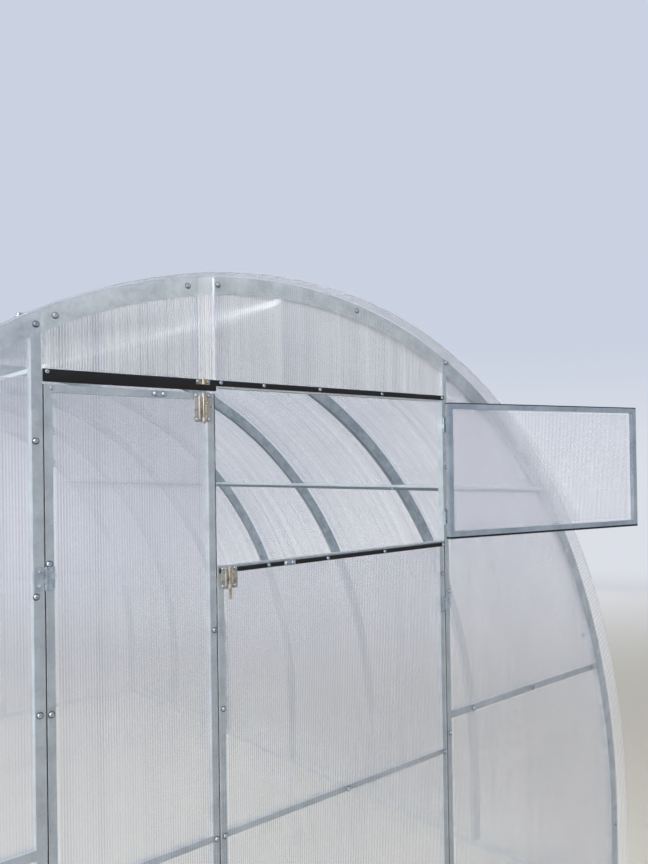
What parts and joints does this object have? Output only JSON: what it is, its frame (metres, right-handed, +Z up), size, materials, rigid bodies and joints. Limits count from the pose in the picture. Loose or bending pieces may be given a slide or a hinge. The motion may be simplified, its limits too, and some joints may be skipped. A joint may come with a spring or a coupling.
{
  "type": "polycarbonate greenhouse",
  "caption": "Arched walk-in greenhouse of galvanised tube with twin-wall polycarbonate sheets, hinged front doors and an open window sash.",
  "frame": {"origin": "on the ground in the middle of the front wall, at the middle of its tubes, on the underside of the front base rail", "axes": "+X to the right along the front wall seen from outside, +Y back into the greenhouse, +Z up"},
  "size_m": [3.0086, 4.2518, 2.1043],
  "materials": {
    "galvanised_tube": "dull galvanised",
    "twin_wall_sheet": "clear fluted polycarbonate",
    "black_rubber": "matt",
    "zinc_plate": "bright zinc",
    "zinc_latch": "yellowed zinc"
  },
  "bodies": {
    "house": {"arch_1": "galvanised_tube", "arch_2": "galvanised_tube", "arch_3": "galvanised_tube", "arch_4": "galvanised_tube", "arch_5": "galvanised_tube", "arch_6": "galvanised_tube", "arch_7": "galvanised_tube", "base_rail_left": "galvanised_tube", "base_rail_right": "galvanised_tube", "base_rail_front": "galvanised_tube", "base_rail_rear": "galvanised_tube", "ridge_purlin": "galvanised_tube", "side_purlin_left": "galvanised_tube", "side_purlin_right": "galvanised_tube", "front_post_left": "galvanised_tube", "front_post_right": "galvanised_tube", "front_head_bar": "galvanised_tube", "front_rail_left": "galvanised_tube", "front_rail_right": "galvanised_tube", "rear_end_frame": "galvanised_tube", "front_sheet_left": "twin_wall_sheet", "front_sheet_right": "twin_wall_sheet", "front_sheet_top_left": "twin_wall_sheet", "front_sheet_top_right": "twin_wall_sheet", "rear_sheet_left": "twin_wall_sheet", "rear_sheet_right": "twin_wall_sheet", "rear_sheet_middle": "twin_wall_sheet", "roof_sheet_front": "twin_wall_sheet", "roof_sheet_rear": "twin_wall_sheet", "sash_frame": "galvanised_tube", "sash_sheet": "twin_wall_sheet", "sash_seals": "black_rubber", "sash_hinges": "zinc_plate", "left_post_hinges": "zinc_plate", "right_post_hinges": "zinc_plate", "latch_keeper": "zinc_plate", "head_strip_left": "black_rubber", "head_strip_right": "black_rubber"},
    "left_leaf": {"left_leaf_frame": "galvanised_tube", "left_leaf_sheet": "twin_wall_sheet", "left_leaf_hinges": "zinc_plate", "left_leaf_latch": "zinc_latch"},
    "right_leaf": {"right_leaf_frame": "galvanised_tube", "right_leaf_sheet": "twin_wall_sheet", "right_leaf_hinges": "zinc_plate", "right_leaf_latch": "zinc_latch", "sill_strip": "black_rubber"}
  },
  "joints": [
    {"name": "left_leaf_hinge", "type": "hinge", "parent": "house", "child": "left_leaf", "pos_m": [-0.5725, -0.0178, 0.9], "axis": [0, 0, -1], "range_deg": [0, 160]},
    {"name": "right_leaf_hinge", "type": "hinge", "parent": "house", "child": "right_leaf", "pos_m": [0.5725, -0.0178, 0.7], "axis": [0, 0, 1], "range_deg": [0, 160]}
  ]
}
